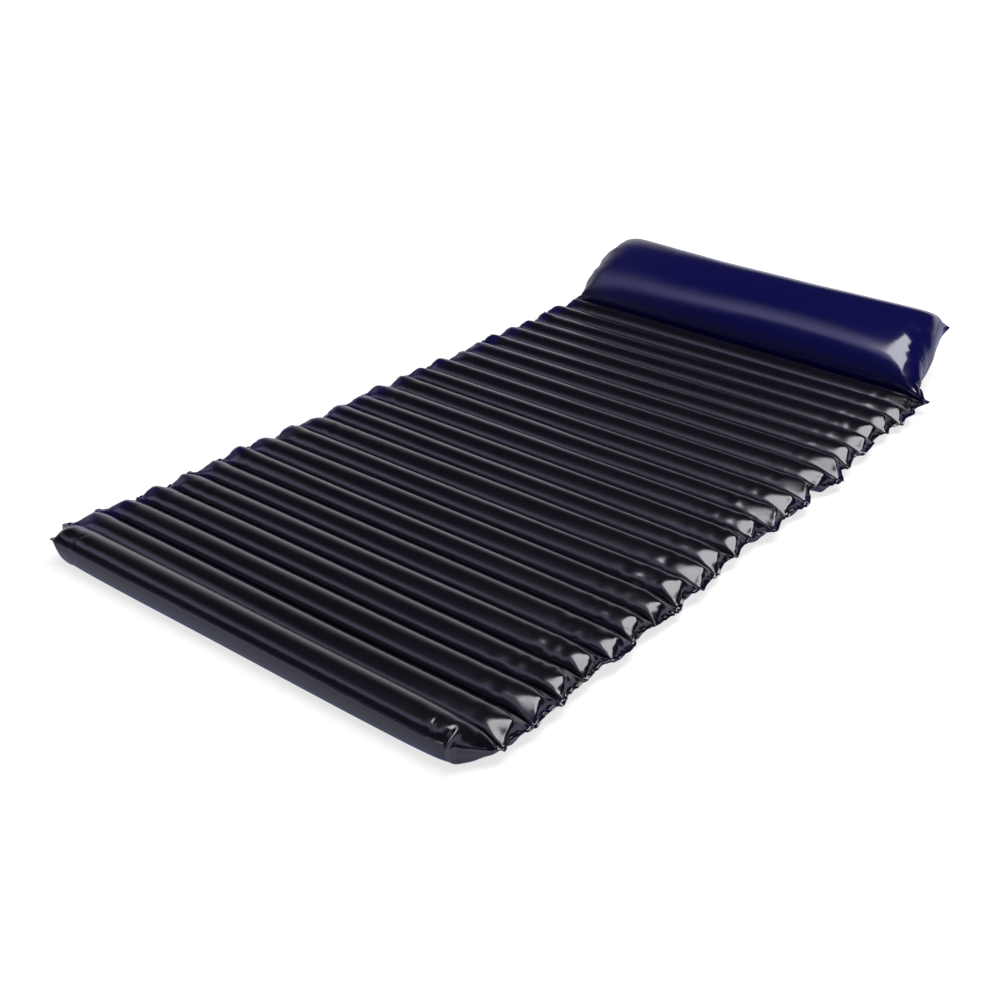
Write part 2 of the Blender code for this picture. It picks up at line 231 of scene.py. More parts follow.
world = bpy.data.worlds.new("studio")
bpy.context.scene.world = world
recipe = Recipe(world)
direction = recipe.node("TexCoord", output=0)
leftward = recipe.node("SeparateXYZ", {}, {"Vector": direction}, output=0) * -1.0
footward = recipe.node("SeparateXYZ", {}, {"Vector": direction}, output=1) * -1.0
height = recipe.node("SeparateXYZ", {}, {"Vector": direction}, output=2)
facing = recipe.node("VectorMath", {"operation": "DOT_PRODUCT"}, {0: direction, 1: BACKDROP_SIDE}, "Value")
wall = SIDE_WALL + (1.0 - SIDE_WALL) * recipe.step(facing, SIDE_LOW, SIDE_HIGH)
to_left = recipe.step(leftward, *LEFT_TURN)
backdrop = wall * (1.0 - recipe.step(height, BACKDROP_LOW, BACKDROP_TOP + BACKDROP_RISE * to_left))
level = height + to_left * PANEL_DROP
panel = recipe.step(level, *PANEL_FOOT) * (1.0 - recipe.step(level, *PANEL_HEAD))
panel = panel * recipe.step(footward, *PANEL_FRONT) * recipe.step(leftward, *PANEL_LEFT)
seen_in_gloss = CEILING + (1.0 - CEILING) * backdrop + panel * PANEL_STRENGTH
is_camera = recipe.node("LightPath", output="Is Camera Ray")
is_glossy = recipe.node("LightPath", output="Is Glossy Ray")
strength = AMBIENT + is_glossy * (seen_in_gloss - AMBIENT)
strength = strength + is_camera * (1.0 - strength)
tint = recipe.colours(is_camera, recipe.colours(panel, BACKDROP_TINT, PANEL_TINT), WHITE)
glow = recipe.node("Background", {}, {"Color": tint, "Strength": strength})
surface = recipe.tree.nodes.new("ShaderNodeOutputWorld")
recipe.tree.links.new(glow.socket, surface.inputs["Surface"])

bm = bmesh.new()
bmesh.ops.create_grid(bm, x_segments=1, y_segments=1, size=FLOOR_SIZE / 2)
bmesh.ops.translate(bm, verts=bm.verts, vec=(0.0, 0.0, -FLOOR_DROP))
floor_mesh = bpy.data.meshes.new("floor")
bm.to_mesh(floor_mesh)
bm.free()
floor = bpy.data.objects.new("floor", floor_mesh)
bpy.context.scene.collection.objects.link(floor)
floor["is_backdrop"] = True
floor_paper = bpy.data.materials.new("floor_paper")
recipe = Recipe(floor_paper)
shade = recipe.node("BsdfDiffuse", {}, {"Color": FLOOR_COLOUR})
place = recipe.node("TexCoord", output="Object")
away = recipe.node("VectorMath", {"operation": "LENGTH"}, {0: place}, output="Value")
glow = FLOOR_GLOW + (1.0 - FLOOR_GLOW) * recipe.step(away, WHITE_FROM, WHITE_AT)
is_glossy = recipe.node("LightPath", output="Is Glossy Ray")
# Painted shade: the camera sees the floor white, but reflections see it a dim blue, as if it lay in the mat's
# shadow.
white_or_painted_shade = recipe.colours(is_glossy, WHITE, FLOOR_SHADE_IN_GLOSS)
light_up = recipe.node("Emission", {}, {"Color": white_or_painted_shade, "Strength": glow})
both = recipe.node("AddShader", {}, {0: shade, 1: light_up})
surface = recipe.tree.nodes.new("ShaderNodeOutputMaterial")
recipe.tree.links.new(both.socket, surface.inputs["Surface"])
floor_mesh.materials.append(floor_paper)

for name, lamp in LAMPS.items():
    light = bpy.data.lights.new(name, "AREA")
    light.shape = "RECTANGLE"
    light.size, light.size_y = lamp["size"]
    light.energy = lamp["watts"]
    light.color = lamp["colour"]
    back = Vector(lamp["towards"]).normalized()
    shone = bpy.data.objects.new(name, light)
    shone.location = LAMPS_AIM_AT + back * lamp["distance"]
    shone.rotation_euler = back.to_track_quat("Z", "Y").to_euler()
    bpy.context.scene.collection.objects.link(shone)
bpy.context.scene.view_settings.view_transform = "Standard"
print("lamps", list(LAMPS))

# %% [markdown]
# ## Glossy film
#
# The film is soft vinyl, almost black on the tubes and a deep blue on the pillow. Where it is a single
# flat pair of sheets, along the ends and the welds, light gets through it and it looks bluer. A plain
# dark colour with low roughness would shine like paint, so the roughness drifts in clouds, and two bumps
# are laid over each other: faint orange peel, and pull lines that run along the tube.

# %% Mix the film materials
FILM_IOR = 1.70
FOOT_SEAM = (-0.698, -0.684)
BLUER_LEFT = 0.014
END_SHARPER = -0.07
HAZE = 0.16
HAZE_FROM, HAZE_TO = -0.05, -0.34
CLOUDS, CLOUDY_EDGE = 14.0, 0.03
GRAIN = 900.0
PULL_LINES, PULL_DRAWN_OUT = 260.0, (0.12, 1.0, 1.0)
WAVES, WAVES_DRAWN_OUT = 42.0, (0.30, 1.0, 1.0)
CREASES = 150.0
# How far the painted shade low between the pockets darkens the film.
VALLEY_SHADE_SHARE = 0.85
RELIEF_STRENGTH, RELIEF_DEPTH = 0.6, 0.0006


def tighter_ends(recipe, x, towards_end):
    """The ends of the tubes are stretched smooth, so they shine more sharply."""
    return towards_end * END_SHARPER


def hazy_left(recipe, x, towards_end):
    """The left shoulder of the pillow carries a soft haze."""
    return (1.0 - recipe.step(x, HAZE_TO, HAZE_FROM)) * HAZE


def film_material(name, deep, blue, valley_shade, ends_from, low, peel, pull, rough, shift):
    """Glossy film: its deep colour, a bluer one at the ends, and painted shade that makes it nearly black low
    between the pockets.
    """
    material = bpy.data.materials.new(name)
    recipe = Recipe(material)
    place = recipe.node("TexCoord", output="Object")
    x = recipe.node("SeparateXYZ", {}, {"Vector": place}, output=0)
    y = recipe.node("SeparateXYZ", {}, {"Vector": place}, output=1)
    z = recipe.node("SeparateXYZ", {}, {"Vector": place}, output=2)
    at_foot = 1.0 - recipe.step(y, *FOOT_SEAM)
    side = recipe.math("ABSOLUTE", x - BLUER_LEFT, 0.0)
    clouds = recipe.noise(place, CLOUDS, 3.0)
    towards_end = recipe.step(side + (clouds - 0.5) * CLOUDY_EDGE, ends_from[0], ends_from[1])
    # Painted shade: low down, in the valleys between the tubes and on the pillow's lower part, the colour is
    # darkened nearly to black.
    painted_low_shade = 1.0 - recipe.step(z, low[0], low[1])
    colour = recipe.colours(painted_low_shade * VALLEY_SHADE_SHARE, recipe.colours(towards_end, deep, blue), valley_shade)
    fine = recipe.noise(place, GRAIN, 2.0)
    along = recipe.noise(place, PULL_LINES, 3.0, PULL_DRAWN_OUT)
    wide = recipe.noise(place, WAVES, 2.0, WAVES_DRAWN_OUT)
    roughness = rough[0] + (rough[1] - rough[0]) * (clouds * 0.6 + fine * 0.4) + shift(recipe, x, towards_end)
    creased = 1.0 - recipe.math("ABSOLUTE", recipe.noise(place, CREASES, 2.0) * 2.0 - 1.0, 0.0)
    relief = fine * peel + along * pull + wide * pull * 3.0 + creased * (towards_end + at_foot) * 0.5
    bump = recipe.node("Bump", {}, {"Strength": RELIEF_STRENGTH, "Distance": RELIEF_DEPTH, "Height": relief})
    shader = recipe.node(
        "BsdfPrincipled",
        {},
        {"Base Color": colour, "Roughness": roughness, "Normal": bump, "IOR": FILM_IOR},
    )
    surface = recipe.tree.nodes.new("ShaderNodeOutputMaterial")
    recipe.tree.links.new(shader.socket, surface.inputs["Surface"])
    return material


tube_film = film_material(
    "tube_film_gloss",
    deep=(0.0030, 0.0013, 0.0050, 1.0),
    blue=(0.0050, 0.0045, 0.0420, 1.0),
    valley_shade=(0.0006, 0.0004, 0.0032, 1.0),
    ends_from=(0.312, 0.338),
    low=(0.012, 0.026),
    peel=0.05,
    pull=0.16,
    rough=(0.15, 0.25),
    shift=tighter_ends,
)
pillow_film = film_material(
    "pillow_film_gloss",
    deep=(0.0022, 0.0026, 0.0560, 1.0),
    blue=(0.0008, 0.0012, 0.0300, 1.0),
    valley_shade=(0.0003, 0.0006, 0.0100, 1.0),
    ends_from=(0.300, 0.330),
    low=(0.010, 0.072),
    peel=0.05,
    pull=0.12,
    rough=(0.10, 0.17),
    shift=hazy_left,
)
print("films", tube_film.name, pillow_film.name)

# %% [markdown]
# ## The form of an inflated pocket
#
# Two films held along two lines bulge into a lens, whose section is two arcs. At the end of the pocket
# the lens closes on the rim seam in a rounded shoulder, and because the film now has to go up and over,
# the seam is drawn in between the welds. Those two facts give every pocket of the mat. The values say
# what is cut and welded, and the class says where a point of the film goes.

# %% Describe the pocket
HALF_SPAN = 0.3320
END_FLANGE = 0.0045
WELD_LAND = 0.0030
FILM = 0.0006


class Pocket:
    """An air pocket in the frame of its near weld: X along the weld, Y across to the far one, Z up."""

    def __init__(self, near, chord, thickness, bow, taper, far_draw=0.0, far_lift=0.0, drop=0.0, rim=0.0):
        self.near = near
        self.chord = chord
        self.rise = (thickness - FILM) / 2
        self.radius = (chord**2 / 4 + self.rise**2) / (2 * self.rise)
        self.half_angle = 2 * math.atan2(2 * self.rise, chord)
        self.film_width = 2 * self.radius * self.half_angle
        self.bow = bow
        self.far_draw = far_draw
        self.far_lift = far_lift
        self.drop = drop
        self.rim = rim
        self.full_x = HALF_SPAN - bow - far_draw - taper
        self.path = self.end_path()
        self.flat_end = self.full_x + self.path

    def seam_x(self, across):
        return HALF_SPAN - self.bow * (1 - (2 * across - 1) ** 2) - self.far_draw * across

    def point(self, along, share, side):
        """A point of the blown-up film: its flat distance from the middle and its share of the arc."""
        end = math.copysign(1.0, along)
        inside = self.flat_end - abs(along)
        out = max(share - 1.0, 0.0) * self.film_width
        angle = (2 * min(share, 1.0) - 1) * self.half_angle
        y = self.chord / 2 + self.radius * math.sin(angle)
        height = self.radius * math.cos(angle) - self.radius + self.rise
        across = min(max(y / self.chord, 0.0), 1.0)
        seam = self.seam_x(across)
        turn = min(max(inside / self.path, 0.0), 1.0) * math.pi / 2
        x = seam + (self.full_x - seam) * (1 - math.cos(turn))
        x += max(-inside, 0.0) - max(inside - self.path, 0.0)
        past = max(x - self.full_x, 0.0) / max(seam - self.full_x, 1e-6)
        middle = across**2 * (self.far_lift - self.drop * min(past, 1.2))
        return Vector((end * x, self.near + y + out, middle + side * height * math.sin(turn)))

    def end_path(self):
        """Length of film from the end seam to the full section, over the crest."""
        seam = self.seam_x(0.5)
        turns = [math.pi / 2 * step / 30 for step in range(31)]
        stops = [(seam + (self.full_x - seam) * (1 - math.cos(t)), self.rise * math.sin(t)) for t in turns]
        return sum(math.dist(a, b) for a, b in zip(stops, stops[1:]))


WELDS = {number: JOINTS[f"weld_{number:02d}_fold"]["pos_m"] for number in range(1, 24)}
WELDS[24] = JOINTS["pillow_fold"]["pos_m"]
PITCH = (WELDS[24][1] - WELDS[1][1]) / 23
WELD_HEIGHT = WELDS[1][2]
FOOT_TILT = math.asin(0.13271)
PILLOW_TILT = math.asin(0.41019)

cross_tube = Pocket(near=WELD_LAND / 2, chord=PITCH - WELD_LAND, thickness=0.0356, bow=0.0050, taper=0.0070)
foot_tube = Pocket(
    near=WELD_LAND / 2,
    chord=0.0535,
    thickness=0.0480,
    bow=0.0030,
    taper=0.0060,
    far_draw=0.0290,
    far_lift=0.0120,
    rim=0.0020,
)
pillow_pocket = Pocket(
    near=WELD_LAND,
    chord=0.1950,
    thickness=0.1080,
    bow=0.0170,
    taper=0.0010,
    far_draw=0.0220,
    drop=0.0160,
    rim=0.0040,
)
for name, pocket in (("tube", cross_tube), ("foot", foot_tube), ("pillow", pillow_pocket)):
    wide, long = round(pocket.film_width * 1000, 1), round(pocket.flat_end * 2000)
    print(name, "film", wide, "mm wide,", long, "mm long")

# %% [markdown]
# ## Two films from one grid
#
# A pocket could be a stretched cylinder, but then its ends would close like a sausage and the welded rim
# would be missing. Here one grid is the upper film and its copy the lower one. For the blowing up, the
# two are welded where the machine welds them. For the finished piece they stay two skins a film apart,
# bridged round the rim, which gives one closed body.

# %% Make the film grids
FLANGE_ROWS = 2
END_ROWS = 26
ROW_STEP = 0.0024
ROW_GROWTH = 1.16
LONGEST_ROW = 0.0130
MOST_ROWS = 400
HALF_GAP = 0.0001
ROUGH_SCALE = 60
ROUGH_SEED_STEP = (7.31, 3.77)
ROUGH_SKIN_STEP = 9.1
ROUGH_FROM, ROUGH_OVER, ROUGH_LEAST = 0.20, 0.08, 0.15
LEFT_END_ROUGH = 0.35


def film_rows(pocket):
    """Flat distances from the middle to each row, fine towards the ends."""
    rows = [pocket.flat_end + END_FLANGE * step / FLANGE_ROWS for step in range(FLANGE_ROWS, 0, -1)]
    rows.append(pocket.flat_end)
    step = ROW_STEP
    for count in range(MOST_ROWS):
        if count >= END_ROWS:
            step = min(step * ROW_GROWTH, LONGEST_ROW)
        if rows[-1] - step < LONGEST_ROW * 0.6:
            break
        rows.append(rows[-1] - step)
    return rows + [0.0] + [-row for row in reversed(rows)]


def film_columns(pocket, count):
    """Shares of the film's width, with the rim beyond the far seam where the pocket has one."""
    shares = [step / count for step in range(count + 1)]
    if pocket.rim:
        shares += [1.0 + pocket.rim / pocket.film_width * step / 2 for step in (1, 2)]
    return shares


class Films:
    """The two films of one pocket: where each grid point is when flat and when blown up."""

    def __init__(self, pocket, columns, seed, roughen, slack=0.0):
        self.pocket = pocket
        self.rows = film_rows(pocket)
        self.shares = film_columns(pocket, columns)
        shape = (2, len(self.rows), len(self.shares), 3)
        self.start = np.zeros(shape)
        self.flat = np.zeros(shape)
        self.welded = np.zeros(shape[1:3], bool)
        shift = Vector((seed * ROUGH_SEED_STEP[0], seed * ROUGH_SEED_STEP[1], 0.0))
        for row, along in enumerate(self.rows):
            for column, share in enumerate(self.shares):
                at_end = abs(along) >= pocket.flat_end - 1e-9
                self.welded[row, column] = at_end or not 1e-9 < share < 1 - 1e-9
                for skin, side in enumerate((1, -1)):
                    point = pocket.point(along, share, side)
                    self.flat[skin, row, column] = (
                        along * (1 + slack / pocket.flat_end),
                        (share - 0.5) * pocket.film_width + pocket.chord / 2 + pocket.near,
                        HALF_GAP * side,
                    )
                    if not self.welded[row, column]:
                        near_end = min(max((abs(along) - ROUGH_FROM) / ROUGH_OVER, ROUGH_LEAST), 1.0)
                        near_end *= LEFT_END_ROUGH if along < 0 else 1.0
                        skin_step = Vector((0, 0, side * ROUGH_SKIN_STEP))
                        wave = noise.noise_vector(point * ROUGH_SCALE + shift + skin_step)
                        point = point + wave * roughen * near_end
                    self.start[skin, row, column] = point
        self.blown = self.start.copy()

    def grid(self):
        """One grid whose vertices carry their row, column and skin."""
        bm = bmesh.new()
        tags = [bm.verts.layers.int.new(name) for name in ("row", "column", "skin")]
        long_side, short_side = len(self.rows) - 1, len(self.shares) - 1
        bmesh.ops.create_grid(bm, x_segments=long_side, y_segments=short_side, size=1.0)
        for vert in bm.verts:
            vert[tags[0]] = round((1 - vert.co.x) / 2 * long_side)
            vert[tags[1]] = round((vert.co.y + 1) / 2 * short_side)
        return bm, tags

    def both_skins(self):
        """The grid and its copy, which faces down."""
        bm, tags = self.grid()
        rim = [edge for edge in bm.edges if edge.is_boundary]
        copied = bmesh.ops.duplicate(bm, geom=bm.verts[:] + bm.edges[:] + bm.faces[:])
        lower = [item for item in copied["geom"] if isinstance(item, bmesh.types.BMFace)]
        bmesh.ops.reverse_faces(bm, faces=lower)
        for item in copied["geom"]:
            if isinstance(item, bmesh.types.BMVert):
                item[tags[2]] = 1
        return bm, tags, lower, rim + [copied["edge_map"][edge] for edge in rim]

    def place(self, bm, tags, places):
        for vert in bm.verts:
            vert.co = places[vert[tags[2]], vert[tags[0]], vert[tags[1]]]


tubes_of_film = {}
for number in range(2, 25):
    chance = np.random.default_rng(number)
    tubes_of_film[number] = Films(
        cross_tube,
        26,
        seed=number,
        roughen=0.0005 + 0.0010 * chance.random(),
        slack=0.003 + 0.010 * chance.random(),
    )
foot_films = Films(foot_tube, 28, seed=40, roughen=0.0012, slack=0.006)
pillow_films = Films(pillow_pocket, 60, seed=50, roughen=0.0008, slack=0.003)
print("rows", len(foot_films.rows), "columns", len(foot_films.shares), "pillow rows", len(pillow_films.rows))

# %% [markdown]
# ## Blowing the pockets up
#
# The creases of a real inflatable come from its flat cut: there is more film at the rim than the blown-up
# rim has room for. Wrinkles could be sculpted by hand, but cloth that remembers its flat shape finds them
# by itself. The flat shape is stored as a shape key and named as the rest shape, and air pressure pushes
# the films apart. Film a few tenths of a millimetre thick is hard on the solver, so the pocket is made
# twenty times as large for it and brought back afterwards.

# %% Run the cloth
ENLARGED = 20.0
FRAMES = 12
HOLD_RIM = 0.12
TUBE_CLOTH = {"pressure": 60.0, "bending": 0.1}
PILLOW_CLOTH = {"pressure": 25.0, "bending": 2.0}
TUBE_CAP, PILLOW_CAP = 0.007, 0.014


def cloth_object(name, films, pressure, bending):
    """The welded pocket as a cloth, ready to be stepped."""
    bm, tags, lower, _ = films.both_skins()
    films.place(bm, tags, films.start * ENLARGED)
    single = [f for f in lower if all(films.welded[v[tags[0]], v[tags[1]]] for v in f.verts)]
    bmesh.ops.delete(bm, geom=single, context="FACES")
    both = [vert for vert in bm.verts if films.welded[vert[tags[0]], vert[tags[1]]]]
    bmesh.ops.remove_doubles(bm, verts=both, dist=1e-5)
    mesh = bpy.data.meshes.new(name)
    bm.to_mesh(mesh)
    keys = [(vert[tags[2]], vert[tags[0]], vert[tags[1]]) for vert in bm.verts]
    bm.free()
    cloth = bpy.data.objects.new(name, mesh)
    bpy.context.scene.collection.objects.link(cloth)
    cloth.shape_key_add(name="Basis")
    flat = cloth.shape_key_add(name="flat")
    flat.data.foreach_set("co", np.array([films.flat[key] * ENLARGED for key in keys]).ravel())
    held = cloth.vertex_groups.new(name="held")
    air = cloth.vertex_groups.new(name="air")
    last = len(films.shares) - 1
    for index, (skin, row, column) in enumerate(keys):
        share = films.shares[column]
        if column == 0 or (column == last and not films.pocket.rim):
            held.add([index], 1.0, "REPLACE")
        elif share >= 1.0:
            held.add([index], HOLD_RIM, "REPLACE")
        if abs(films.rows[row]) <= films.pocket.flat_end and share <= 1.0:
            air.add([index], 1.0, "REPLACE")
    modifier = cloth.modifiers.new("film", "CLOTH")
    settings = modifier.settings
    settings.rest_shape_key = flat
    settings.quality = 12
    settings.mass = 0.3
    settings.air_damping = 1.0
    settings.tension_stiffness = 1500
    settings.compression_stiffness = 300
    settings.shear_stiffness = 200
    settings.bending_stiffness = bending
    settings.tension_damping = 5
    settings.compression_damping = 5
    settings.shear_damping = 5
    settings.use_pressure = True
    settings.uniform_pressure_force = pressure
    settings.vertex_group_pressure = "air"
    settings.vertex_group_mass = "held"
    settings.pin_stiffness = 50
    settings.effector_weights.gravity = 0
    modifier.collision_settings.use_collision = False
    modifier.collision_settings.use_self_collision = False
    modifier.point_cache.frame_start = 1
    modifier.point_cache.frame_end = FRAMES + 2
    return cloth, keys


def read_back(cloth, keys, films, cap):
    """Takes the simulated places, lets no point stray further than the cap, and removes the cloth."""
    graph = bpy.context.evaluated_depsgraph_get()
    result = cloth.evaluated_get(graph).data
    places = np.empty(len(result.vertices) * 3)
    result.vertices.foreach_get("co", places)
    places = places.reshape(-1, 3) / ENLARGED
    for key, place in zip(keys, places):
        start = films.start[key]
        moved = place - start
        length = np.linalg.norm(moved)
        place = start + moved * (cap * math.tanh(length / cap) / max(length, 1e-9))
        if films.welded[key[1], key[2]]:
            films.blown[0, key[1], key[2]] = place
            films.blown[1, key[1], key[2]] = place
        else:
            films.blown[key] = place
    mesh = cloth.data
    bpy.data.objects.remove(cloth)
    bpy.data.meshes.remove(mesh)


batch = []
for number, films in tubes_of_film.items():
    batch.append((films, *cloth_object(f"cloth_{number}", films, **TUBE_CLOTH)))
batch.append((foot_films, *cloth_object("cloth_foot", foot_films, **TUBE_CLOTH)))
batch.append((pillow_films, *cloth_object("cloth_pillow", pillow_films, **PILLOW_CLOTH)))
for step in range(1, FRAMES + 1):
    bpy.context.scene.frame_set(step)
for films, cloth, keys in batch:
    read_back(cloth, keys, films, PILLOW_CAP if films is pillow_films else TUBE_CAP)
bpy.context.scene.frame_set(1)
print("blown up", len(batch), "pockets in", FRAMES, "steps")

# %% [markdown]
# ## Small unevenness of the whole mat
#
# On a real mat no weld is quite straight, and the whole lies a little out of square. If each piece were
# bent by itself, neighbours would part, so there is one field of small moves that depends only on the
# place, and every piece of film goes through it. Along the right rim a few places stand out as ears. They
# are given as a weld, counted from the foot with shares between two welds, and millimetres.

# %% Define the uneven field
SKEW = -0.0010
RIM_FROM = 0.296
RIM_DEPTH = 0.036
RIM_RIGHT_MEAN = 2.0
RIM_EARS = {
    5.5: 4.0,
    7.8: 5.0,
    13.2: 9.0,
    15.0: 10.0,
    16.8: 12.0,
    18.0: 5.0,
    19.4: 12.0,
    21.0: 5.0,
    22.5: 11.0,
    24.2: 12.0,
}
EAR_HALF = 0.75
RIM_SWING = 7.0
RIM_LEFT_MEAN, RIM_LEFT_SWING = 5.0, 14.0
WELD_WANDER = 0.0012
LIFT = 0.0030
TIP_ALONG, TIP_UP = 0.0030, 0.0060
RUFFLES = 72.0
RUFFLE_HEIGHT = 0.0020
GATHER_DEPTH = 0.0010
FLANGE_FROM, FLANGE_WIDE = 0.322, 0.012


def rim_out(x, y):
    """How far the rim stands out of its cut line, in metres, at a place along the mat."""
    if x < 0:
        return (RIM_LEFT_MEAN + RIM_LEFT_SWING * noise.noise(Vector((0.5, y * 26, 2.5)))) / 1000
    weld = 1.0 + (y - WELDS[1][1]) / PITCH
    ears = sum(out * max(1.0 - ((weld - at) / EAR_HALF) ** 2, 0.0) for at, out in RIM_EARS.items())
    return (RIM_RIGHT_MEAN + ears + RIM_SWING * noise.noise(Vector((4.5, y * 31, 1.5)))) / 1000


def uneven(point):
    """A point of the mat after the small moves that all pieces share."""
    x, y, z = point
    side = math.copysign(1.0, x)
    end = min(max((abs(x) - RIM_FROM) / RIM_DEPTH, 0.0), 1.1) ** 1.5
    slow = noise.noise_vector(Vector((x * 4, y * 14, 5.0)))
    step = noise.noise_vector(Vector((x * 1.3, y * 21, 9.0)))
    tip = noise.noise_vector(Vector((side * 5.0, y * 30, 3.0)))
    low = min(max(z / WELD_HEIGHT, 0.0), 1.0)
    ruffle = 1.0 - 2.0 * abs(noise.noise(Vector((side * 3.0, y * RUFFLES, 7.0)))) * 2.0
    gather = 1.0 - 2.0 * abs(noise.noise(Vector((side * 8.0, y * RUFFLES * 1.3, z * 40)))) * 2.0
    flange = min(max((abs(x) - FLANGE_FROM) / FLANGE_WIDE, 0.0), 1.0)
    face = max(1.0 - abs(abs(x) - FLANGE_FROM) / FLANGE_WIDE, 0.0)
    rise = step.z * LIFT + tip.z * TIP_UP * end + ruffle * RUFFLE_HEIGHT * flange
    return Vector((
        x + SKEW * y + side * (rim_out(x, y) * end + gather * GATHER_DEPTH * face),
        y + slow.y * WELD_WANDER + tip.y * TIP_ALONG * end,
        max(z + low * rise, 0.0),
    ))


print("rim stands out by", [round(rim_out(1, y / 10) * 1000, 1) for y in range(-6, 6)], "mm")

# %% [markdown]
# ## What the cloth leaves out
#
# The cloth knows nothing of the neighbours, the valves or the packing. Taut film makes flat facets at a
# tube's end, the foot and the pillow have to leave room for the fold at their weld, the pillow is fuller
# at its right shoulder, the foot's corner stands up in a small ear, and film lies level under a valve.
# These are small moves of single points, made in the same way for every piece that needs them.

# %% Shape the ends and the seats
FACET_ACROSS = 0.60
FACET_ALONG = 0.30
FACET_ROUND = 0.0009


def with_facets(films, seed):
    """Flattens the four corners of a tube's end, where taut film runs straight from the weld to the crest."""
    pocket = films.pocket
    for end in (-1, 1):
        for far in (False, True):
            chance = np.random.default_rng(seed * 10 + end * 2 + far)
            along = FACET_ALONG * (0.7 + 0.9 * chance.random())
            across = FACET_ACROSS * (0.90 + 0.20 * chance.random())
            x, y, z = np.moveaxis(films.blown, -1, 0)
            from_weld = y - pocket.near
            if far:
                from_weld = pocket.chord - from_weld
            plane = along * (HALF_SPAN - end * x) + across * np.maximum(from_weld, 0.0)
            over = FACET_ROUND * np.logaddexp(0.0, (np.abs(z) - plane) / FACET_ROUND)
            here = (end * x > 0) & ~films.welded[None]
            films.blown[..., 2] = np.where(here, np.sign(z) * np.maximum(np.abs(z) - over, 0.0), z)


FOOT_ROOM = 0.466
PILLOW_ROOM = 0.40


def with_room(films, room):
    """Keeps film out of the wedge over its weld that a fold needs. The room is metres out per metre up."""
    films.blown[..., 1] = np.maximum(films.blown[..., 1], np.abs(films.blown[..., 2]) * room)


def as_made(point):
    """A cross tube keeps the form that the cloth gave it."""
    return point


PILLOW_HIGH = 0.12
LEFT_END_FROM, LEFT_END_OVER = 0.20, 0.12
SHOULDER_FROM, SHOULDER_OVER = -0.10, 0.36
PULLED_LEFT, PULLED_LEFT_TOP = 0.010, 0.020
LEANS_BACK = 0.012
FULLER, FULLER_LEFT, FULLER_RIGHT = 1.02, 0.02, 0.03


def settled(point):
    """The pillow is blown up a little fuller than its solid, most at its left end and right shoulder."""
    x, y, z = point
    left = min(max((-x - LEFT_END_FROM) / LEFT_END_OVER, 0.0), 1.0)
    right = min(max((x - SHOULDER_FROM) / SHOULDER_OVER, 0.0), 1.0)
    high = max(z, 0.0) / PILLOW_HIGH
    return Vector((
        x - (PULLED_LEFT + PULLED_LEFT_TOP * high) * left,
        y + LEANS_BACK * high,
        z * (FULLER + FULLER_LEFT * left + FULLER_RIGHT * right),
    ))


EAR_PLACE = (0.302, -0.690)
EAR_REACH = 0.022
EAR_OUT, EAR_SHARP = 0.012, 0.0026
EAR_TOWARDS = Vector((0.3, -0.9, 0.3))
DIP_IN, DIP_WIDE = 0.0055, 0.0120


def with_ear(point):
    """Pinches the foot's right far corner, where two seams meet and spare film stands up in a small ear."""
    x, y, z = point
    across = x - EAR_PLACE[0]
    near = min(max((EAR_PLACE[1] + EAR_REACH - y) / EAR_REACH, 0.0), 1.0)
    out = EAR_OUT * math.exp(-((across / EAR_SHARP) ** 2)) - DIP_IN * math.exp(-((across / DIP_WIDE) ** 2))
    return point + EAR_TOWARDS * out * near * near


SEAT_GAP = 0.0003
SEAT_RADIUS, SEAT_BLEND = 0.0130, 0.0130


def valve_seat(prefix):
    """The middle of a valve's seat on the film, and the way out of it, read from the solids."""
    ring = frame["nodes"][prefix + "_valve_base"]
    outward = Vector(JOINTS[prefix + "_stem_slide"]["axis"])
    places = [ring.matrix_world @ vert.co for vert in ring.data.vertices]
    middle = sum(places, Vector()) / len(places)
    low = min((place - middle).dot(outward) for place in places)
    return middle + outward * (low - SEAT_GAP), outward


def seated(point, seat):
    """Draws the film level with the ring round a valve, so that the ring lies on it."""
    middle, outward = seat
    offset = point - middle
    out = offset.dot(outward)
    radial = (offset - outward * out).length
    share = min(max((SEAT_RADIUS + SEAT_BLEND - radial) / SEAT_BLEND, 0.0), 1.0)
    if abs(out) > SEAT_RADIUS + SEAT_BLEND:
        return point
    level = point - outward * out * share * share * (3 - 2 * share)
    return Vector((level.x, level.y, max(level.z, 0.0)))


print("valve seats at", [[round(value, 3) for value in valve_seat(name)[0]] for name in ("mat", "pillow")])

# %% [markdown]
# ## The tubes, the foot and the pillow
#
# Each pocket becomes its own piece, so that the mat can fold along the welds. One subdivision rounds off
# the grid. It stays live, at the same level for viewport and render.

# %% Build the pockets
SKIN = FILM / 2
CALM_TO = 0.308
CALM_PILLOW = 8


